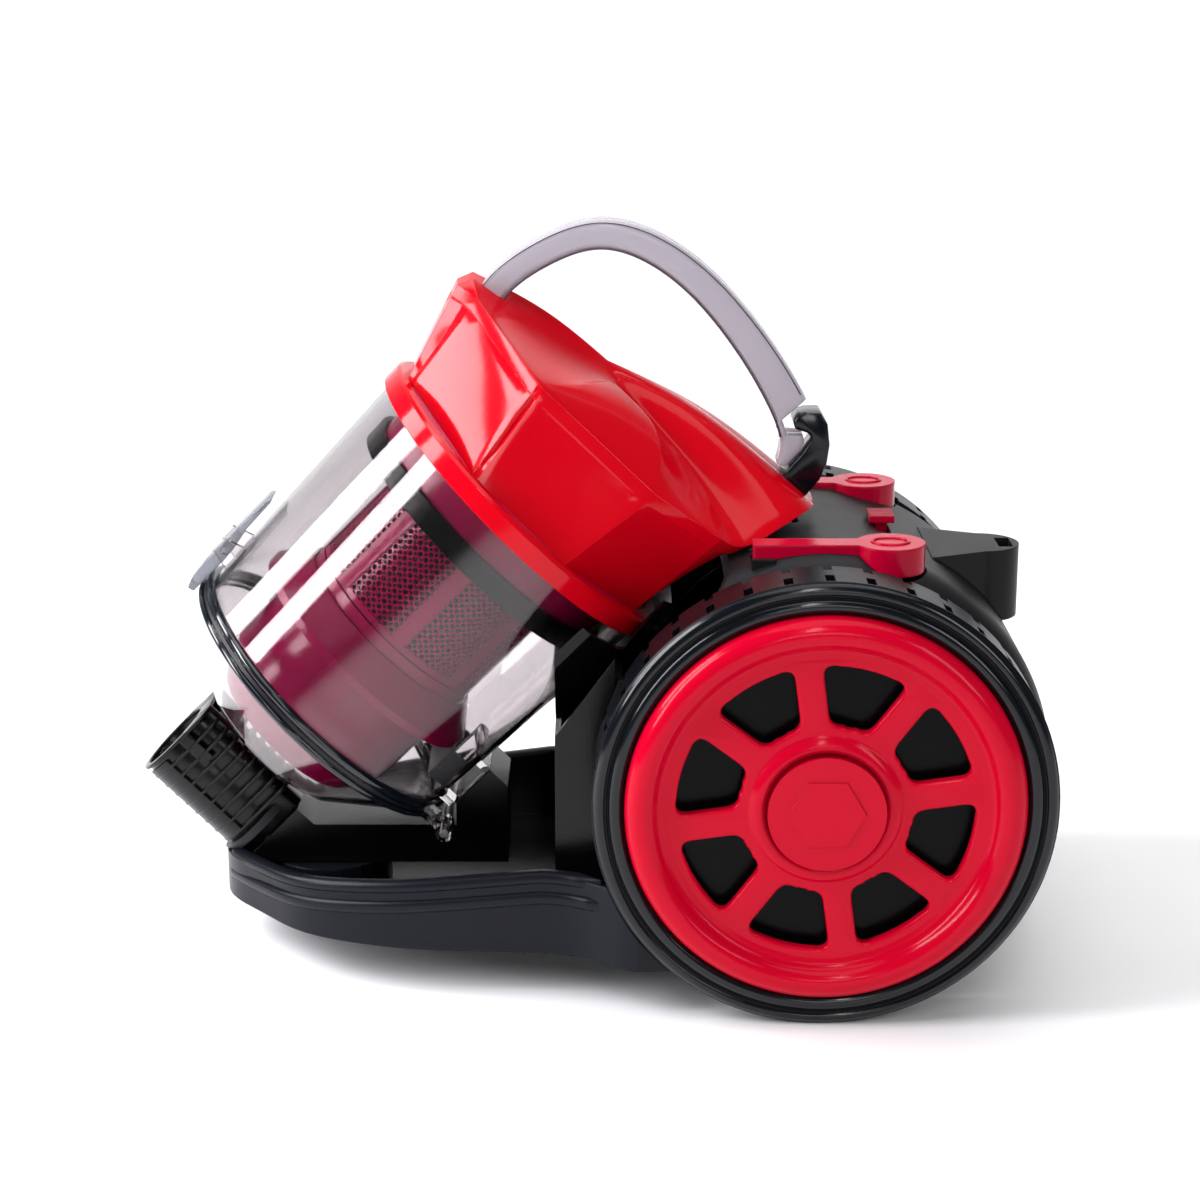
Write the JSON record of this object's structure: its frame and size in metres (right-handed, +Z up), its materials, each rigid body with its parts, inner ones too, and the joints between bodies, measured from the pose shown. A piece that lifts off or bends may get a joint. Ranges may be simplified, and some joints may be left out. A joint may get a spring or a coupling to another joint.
{
  "type": "bagless cylinder vacuum cleaner",
  "caption": "Bagless cylinder vacuum cleaner with a tilted clear dust cup, red faceted head, arched smoky handle, large spoked side wheels and a low tray with a ribbed hose inlet.",
  "frame": {"origin": "on the floor under the middle of the machine", "axes": "+Z up, -X to the front where the hose goes in, wheels spin about Y"},
  "size_m": [0.4354, 0.26, 0.3532],
  "materials": {
    "red_gloss": "high gloss moulded",
    "pedal_red": "gloss moulded",
    "wheel_black": "satin gloss",
    "tread_black": "moulded tread",
    "housing_grey": "fine spark-eroded matt",
    "tray_grey": "satin",
    "inner_black": "satin",
    "smoky_clear": "clear smoke-tinted",
    "handle_clear": "clear smoke-tinted",
    "burgundy": "gloss, slightly see-through",
    "seal_rubber": "soft",
    "steel": "turned",
    "aluminium": "pressed",
    "copper": "wound copper and laminations",
    "carbon": "pressed carbon",
    "filter_paper": "pleated",
    "filter_felt": "felt block",
    "board_green": "laminate",
    "grey_plastic": "satin"
  },
  "bodies": {
    "chassis": {"base_tray": "tray_grey", "inlet_duct": "inner_black", "port_seal": "seal_rubber", "hose_inlet": "inner_black", "inlet_seal": "seal_rubber", "motor_housing": "housing_grey", "cup_cradle": "inner_black", "park_bracket": "housing_grey", "exhaust_filter": "filter_felt", "cord_outlet": "inner_black", "housing_screws": "steel", "axle_pins": "steel", "fan_cover": "aluminium", "motor_can": "steel", "motor_bearings": "steel", "carbon_brushes": "carbon", "motor_mounts": "seal_rubber", "reel_spindle": "inner_black", "reel_spring_case": "inner_black", "power_switch": "inner_black", "control_board": "board_green", "power_pedal_spring": "steel", "rewind_pedal_spring": "steel"},
    "castor_fork": {"castor_fork": "inner_black", "castor_pin": "steel"},
    "castor_wheel": {"castor_wheel": "seal_rubber"},
    "power_pedal": {"power_pedal": "pedal_red"},
    "rewind_pedal": {"rewind_pedal": "pedal_red"},
    "suction_slider": {"suction_slider": "pedal_red"},
    "exhaust_grille": {"exhaust_grille": "housing_grey"},
    "motor_rotor": {"motor_shaft": "steel", "armature": "copper", "impeller": "aluminium"},
    "cord_reel": {"reel_drum": "inner_black"},
    "cup": {"cup_shell": "smoky_clear", "cup_collar": "red_gloss", "inlet_scoop": "grey_plastic", "lid_hinge_pin": "steel"},
    "cup_lid": {"cup_lid": "smoky_clear", "lid_seal": "seal_rubber"},
    "lid_latch": {"lid_latch": "smoky_clear"},
    "head": {"head_cover": "red_gloss", "handle_left": "handle_clear", "handle_right": "handle_clear", "separator_band": "burgundy", "separator_plate": "inner_black", "separator_cage": "burgundy", "cage_screen": "burgundy", "separator_skirt": "burgundy", "separator_cone": "burgundy", "filter_cartridge": "filter_paper"},
    "release_button": {"release_button": "wheel_black"},
    "wheel_left": {"tyre_left": "tread_black", "wheel_disc_left": "wheel_black", "wheel_trim_left": "red_gloss", "hub_cap_left": "red_gloss"},
    "wheel_right": {"tyre_right": "tread_black", "wheel_disc_right": "wheel_black", "wheel_trim_right": "red_gloss", "hub_cap_right": "red_gloss"}
  },
  "joints": [
    {"name": "wheel_left_spin", "type": "hinge", "parent": "chassis", "child": "wheel_left", "pos_m": [0.108, -0.107, 0.105], "axis": [0, 1, 0], "continuous": true},
    {"name": "wheel_right_spin", "type": "hinge", "parent": "chassis", "child": "wheel_right", "pos_m": [0.108, 0.107, 0.105], "axis": [0, 1, 0], "continuous": true},
    {"name": "castor_swivel", "type": "hinge", "parent": "chassis", "child": "castor_fork", "pos_m": [-0.127, 0, 0.035], "axis": [0, 0, 1], "continuous": true},
    {"name": "castor_roll", "type": "hinge", "parent": "castor_fork", "child": "castor_wheel", "pos_m": [-0.117, 0, 0.014], "axis": [0, 1, 0], "continuous": true},
    {"name": "power_pedal_press", "type": "hinge", "parent": "chassis", "child": "power_pedal", "pos_m": [0.0815, -0.063, 0.1965], "axis": [0, 1, 0], "range_deg": [0, 4.5], "stiffness_Nm_per_rad": 1, "springref_deg": -4.58, "deforming": ["power_pedal_spring"]},
    {"name": "rewind_pedal_press", "type": "hinge", "parent": "chassis", "child": "rewind_pedal", "pos_m": [0.0815, 0.063, 0.1965], "axis": [0, 1, 0], "range_deg": [0, 4.5], "stiffness_Nm_per_rad": 1, "springref_deg": -4.58, "deforming": ["rewind_pedal_spring"]},
    {"name": "suction_slide", "type": "slide", "parent": "chassis", "child": "suction_slider", "axis": [0, 1, 0], "range_m": [-0.01, 0.01]},
    {"name": "exhaust_grille_open", "type": "hinge", "parent": "chassis", "child": "exhaust_grille", "pos_m": [0.2154, 0, 0.0847], "axis": [0, 1, 0], "range_deg": [0, 70]},
    {"name": "motor_spin", "type": "hinge", "parent": "chassis", "child": "motor_rotor", "pos_m": [0.1, -0.03, 0.104], "axis": [1, 0, 0], "continuous": true},
    {"name": "cord_reel_spin", "type": "hinge", "parent": "chassis", "child": "cord_reel", "pos_m": [0.108, 0.053, 0.105], "axis": [0, 1, 0], "continuous": true},
    {"name": "cup_lift", "type": "slide", "parent": "chassis", "child": "cup", "axis": [0, 0, 1], "range_m": [0, 0.25]},
    {"name": "head_lift", "type": "slide", "parent": "cup", "child": "head", "axis": [0.7071, 0, 0.7071], "range_m": [0, 0.17]},
    {"name": "lid_open", "type": "hinge", "parent": "cup", "child": "cup_lid", "pos_m": [-0.06825, 0, 0.06286], "axis": [0, -1, 0], "range_deg": [0, 85]},
    {"name": "lid_latch_press", "type": "hinge", "parent": "cup", "child": "lid_latch", "pos_m": [-0.17219, 0, 0.1965], "axis": [0, 1, 0], "range_deg": [0, 6], "stiffness_Nm_per_rad": 0.05, "springref_deg": -8.59},
    {"name": "release_button_press", "type": "hinge", "parent": "head", "child": "release_button", "pos_m": [0.105, 0, 0.228], "axis": [0, -1, 0], "range_deg": [0, 4], "stiffness_Nm_per_rad": 0.05, "springref_deg": -8.59}
  ],
  "couplings": [
    {"joint": "lid_open", "follows": "cup_lift", "rad_per_m": 5.93}
  ]
}
